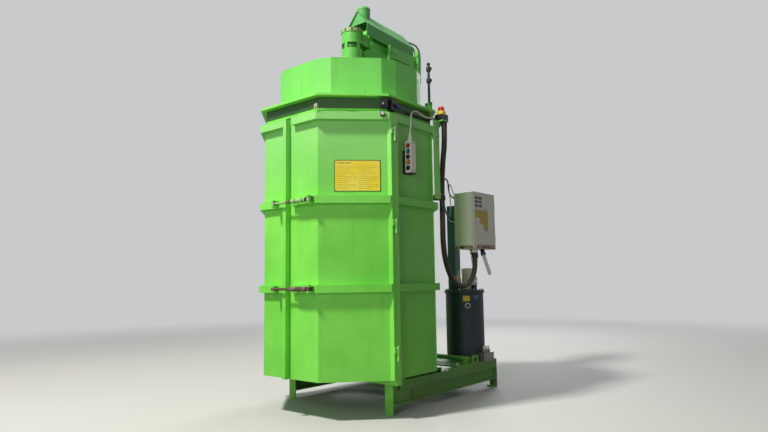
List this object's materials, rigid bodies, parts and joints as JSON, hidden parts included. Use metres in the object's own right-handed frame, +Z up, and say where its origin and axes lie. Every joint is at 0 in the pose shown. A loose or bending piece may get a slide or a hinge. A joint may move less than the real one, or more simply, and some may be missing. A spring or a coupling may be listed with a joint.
{
  "type": "rotary press container",
  "caption": "Upright eight-sided rotary press container with double front doors, an open filling collar and a mast arm that carries a spinning press roller.",
  "frame": {"origin": "on the floor under the middle of the machine's outer box", "axes": "+Z up, -Y out of the doors, +X to the right seen from the front; the mirror plane of the chamber and the arm is x = 0"},
  "size_m": [1.168, 1.672, 2.701],
  "materials": {
    "green_paint": "semi-gloss",
    "rusty_steel": "rusted",
    "bright_steel": "polished",
    "worn_steel": "worn",
    "blue_grey_paint": "semi-gloss",
    "teal_paint": "semi-gloss",
    "light_grey_paint": "satin",
    "black_plastic": "matt",
    "red_plastic": "glossy",
    "teal_plastic": "glossy",
    "orange_plastic": "glossy",
    "hose_rubber": "matt",
    "pale_green_paint": "satin",
    "cream_plastic": "satin",
    "grey_cable": "matt"
  },
  "bodies": {
    "frame": {"arm_hose_left": "hose_rubber", "arm_hose_right": "hose_rubber", "base_plate": "green_paint", "bearer_front": "green_paint", "bearer_rear": "green_paint", "bracket_pole": "green_paint", "cabinet_body": "light_grey_paint", "cabinet_stand": "teal_paint", "cable_guard": "green_paint", "collar": "green_paint", "conduit_hose": "hose_rubber", "deck_plate": "green_paint", "door_switch": "black_plastic", "estop_base": "black_plastic", "floor_plate": "green_paint", "hinge_post_left": "green_paint", "hinge_post_right": "green_paint", "leg_left": "green_paint", "leg_right": "green_paint", "mast_cheek_left": "green_paint", "mast_cheek_right": "green_paint", "mast_column": "green_paint", "mast_fork": "green_paint", "oil_tank": "blue_grey_paint", "pendant_body": "cream_plastic", "pendant_cable": "grey_cable", "pendant_holder": "black_plastic", "pump_motor": "light_grey_paint", "tank_lid": "blue_grey_paint", "tie_tube": "green_paint", "top_frame": "green_paint", "valve_block": "worn_steel", "wall_corner_left": "green_paint", "wall_corner_right": "green_paint", "wall_rear": "green_paint", "wall_side_left": "green_paint", "wall_side_right": "green_paint"},
    "door_right": {"door_right_front": "green_paint", "door_right_corner": "green_paint"},
    "door_left": {"door_left_front": "green_paint", "door_left_corner": "green_paint"},
    "latch_upper_arm": {"latch_upper": "rusty_steel"},
    "latch_lower_arm": {"latch_lower": "rusty_steel"},
    "arm": {"upper_beam": "green_paint", "roof_cover": "green_paint"},
    "link": {"lower_beam": "green_paint"},
    "cylinder": {"lift_cylinder": "blue_grey_paint"},
    "rod": {"lift_rod": "bright_steel"},
    "head": {"spindle_housing": "green_paint", "head_flange": "pale_green_paint"},
    "rotor": {"rotor_shaft": "worn_steel"},
    "roller": {"press_roller": "worn_steel"},
    "cabinet_lid": {"cabinet_door": "light_grey_paint"},
    "lock": {"cabinet_lock": "bright_steel"},
    "stop_button": {"estop_button": "red_plastic"},
    "button_1": {"pendant_button_1": "red_plastic"},
    "button_2": {"pendant_button_2": "teal_plastic"},
    "button_3": {"pendant_button_3": "black_plastic"},
    "button_4": {"pendant_button_4": "orange_plastic"},
    "button_5": {"pendant_button_5": "black_plastic"}
  },
  "joints": [
    {"name": "door_right_hinge", "type": "hinge", "parent": "frame", "child": "door_right", "pos_m": [0.562, -0.4555, 0.22], "axis": [0, 0, 1], "range_deg": [0, 120]},
    {"name": "door_left_hinge", "type": "hinge", "parent": "frame", "child": "door_left", "pos_m": [-0.562, -0.4555, 0.22], "axis": [0, 0, -1], "range_deg": [0, 120]},
    {"name": "latch_upper_swing", "type": "hinge", "parent": "door_right", "child": "latch_upper_arm", "pos_m": [0.222, -0.821, 1.244], "axis": [0, 0, 1], "range_deg": [0, 100]},
    {"name": "latch_lower_swing", "type": "hinge", "parent": "door_right", "child": "latch_lower_arm", "pos_m": [0.222, -0.821, 0.737], "axis": [0, 0, 1], "range_deg": [0, 100]},
    {"name": "arm_lift", "type": "hinge", "parent": "frame", "child": "arm", "pos_m": [0, 0.321, 2.5], "axis": [1, 0, 0], "range_deg": [0, 25]},
    {"name": "link_swing", "type": "hinge", "parent": "frame", "child": "link", "pos_m": [0, 0.321, 2.415], "axis": [1, 0, 0], "range_deg": [0, 25]},
    {"name": "head_level", "type": "hinge", "parent": "arm", "child": "head", "pos_m": [0, -0.079, 2.5], "axis": [1, 0, 0], "range_deg": [-25, 0]},
    {"name": "cylinder_tilt", "type": "hinge", "parent": "frame", "child": "cylinder", "pos_m": [0, 0.396, 1.62], "axis": [1, 0, 0], "range_deg": [-2.6, 0]},
    {"name": "rod_slide", "type": "slide", "parent": "cylinder", "child": "rod", "axis": [0, -0.224, 0.9746], "range_m": [-0.04, 0]},
    {"name": "rotor_spin", "type": "hinge", "parent": "head", "child": "rotor", "pos_m": [0, -0.209, 2], "axis": [0, 0, 1], "continuous": true},
    {"name": "roller_spin", "type": "hinge", "parent": "rotor", "child": "roller", "pos_m": [0, -0.416, 1.7], "axis": [0, 1, 0], "continuous": true},
    {"name": "cabinet_door_hinge", "type": "hinge", "parent": "frame", "child": "cabinet_lid", "pos_m": [0.49, 0.8, 1.197], "axis": [0, 0, 1], "range_deg": [0, 110]},
    {"name": "cabinet_lock_turn", "type": "hinge", "parent": "cabinet_lid", "child": "lock", "pos_m": [0.49, 0.546, 1.2], "axis": [1, 0, 0], "range_deg": [0, 90]},
    {"name": "estop_push", "type": "slide", "parent": "frame", "child": "stop_button", "axis": [0, 0, 1], "range_m": [-0.006, 0], "stiffness_N_per_m": 2000},
    {"name": "button_1_push", "type": "slide", "parent": "frame", "child": "button_1", "axis": [0, 1, 0], "range_m": [0, 0.003], "stiffness_N_per_m": 800},
    {"name": "button_2_push", "type": "slide", "parent": "frame", "child": "button_2", "axis": [0, 1, 0], "range_m": [0, 0.003], "stiffness_N_per_m": 800},
    {"name": "button_3_push", "type": "slide", "parent": "frame", "child": "button_3", "axis": [0, 1, 0], "range_m": [0, 0.003], "stiffness_N_per_m": 800},
    {"name": "button_4_push", "type": "slide", "parent": "frame", "child": "button_4", "axis": [0, 1, 0], "range_m": [0, 0.003], "stiffness_N_per_m": 800},
    {"name": "button_5_push", "type": "slide", "parent": "frame", "child": "button_5", "axis": [0, 1, 0], "range_m": [0, 0.003], "stiffness_N_per_m": 800}
  ],
  "couplings": [
    {"joint": "door_left_hinge", "follows": "door_right_hinge", "ratio": 1},
    {"joint": "link_swing", "follows": "arm_lift", "ratio": 1},
    {"joint": "head_level", "follows": "arm_lift", "ratio": -1},
    {"joint": "cylinder_tilt", "follows": "arm_lift", "ratio": -0.10262},
    {"joint": "rod_slide", "follows": "arm_lift", "m_per_rad": -0.09122}
  ]
}
